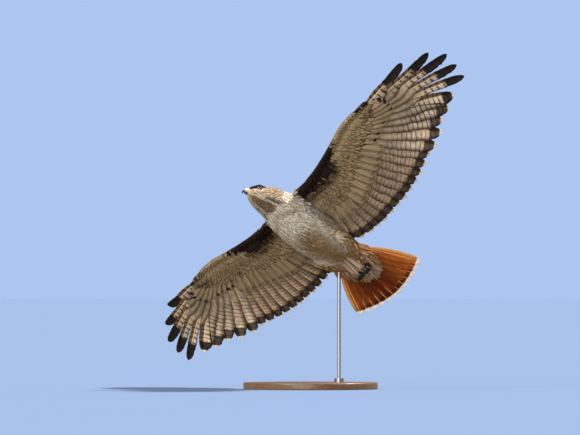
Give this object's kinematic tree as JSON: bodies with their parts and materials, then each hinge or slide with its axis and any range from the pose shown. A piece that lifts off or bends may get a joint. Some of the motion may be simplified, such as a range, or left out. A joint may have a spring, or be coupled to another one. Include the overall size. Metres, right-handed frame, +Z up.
{
  "type": "red-tailed hawk",
  "caption": "Life-size soaring red-tailed hawk seen banking, wings and tail spread, on a plain stand.",
  "frame": {"origin": "centre of the underside of the stand's round base", "axes": "+Z up through the base; the picture's camera looks along +Y with +X to its right; the bird heads towards -X, climbing and banking, with its back turned away from the camera"},
  "size_m": [0.8027, 0.5605, 0.8944],
  "materials": {
    "plumage_pale": "pale buff body feathers, matt",
    "plumage_head": "rufous-brown head and neck feathers, matt",
    "tail_red": "rufous tail feathers, matt",
    "wing_feathers": "grey-tan barred wing feathers, matt",
    "bill_horn": "slate bill with a pale base, satin",
    "eye_brown": "dark brown eye, polished",
    "foot_skin": "scaly dark skin, matt",
    "claw_black": "black horn, satin",
    "stand_wood": "dark turned wood, satin",
    "stand_steel": "brushed rod and collar"
  },
  "bodies": {
    "root": {"arm_left": "wing_feathers", "arm_right": "wing_feathers", "bill_lower": "bill_horn", "bill_upper": "bill_horn", "claw_left_hind": "claw_black", "claw_left_inner": "claw_black", "claw_left_middle": "claw_black", "claw_left_outer": "claw_black", "claw_right_hind": "claw_black", "claw_right_inner": "claw_black", "claw_right_middle": "claw_black", "claw_right_outer": "claw_black", "eye_left": "eye_brown", "eye_right": "eye_brown", "foot_left": "foot_skin", "foot_right": "foot_skin", "forearm_left": "wing_feathers", "forearm_right": "wing_feathers", "hand_left": "wing_feathers", "hand_right": "wing_feathers", "head": "plumage_head", "neck": "plumage_head", "stand_base": "stand_wood", "stand_collar": "stand_steel", "stand_rod": "stand_steel", "tail": "tail_red", "thigh_left": "plumage_pale", "thigh_right": "plumage_pale", "torso": "plumage_pale"}
  },
  "joints": []
}
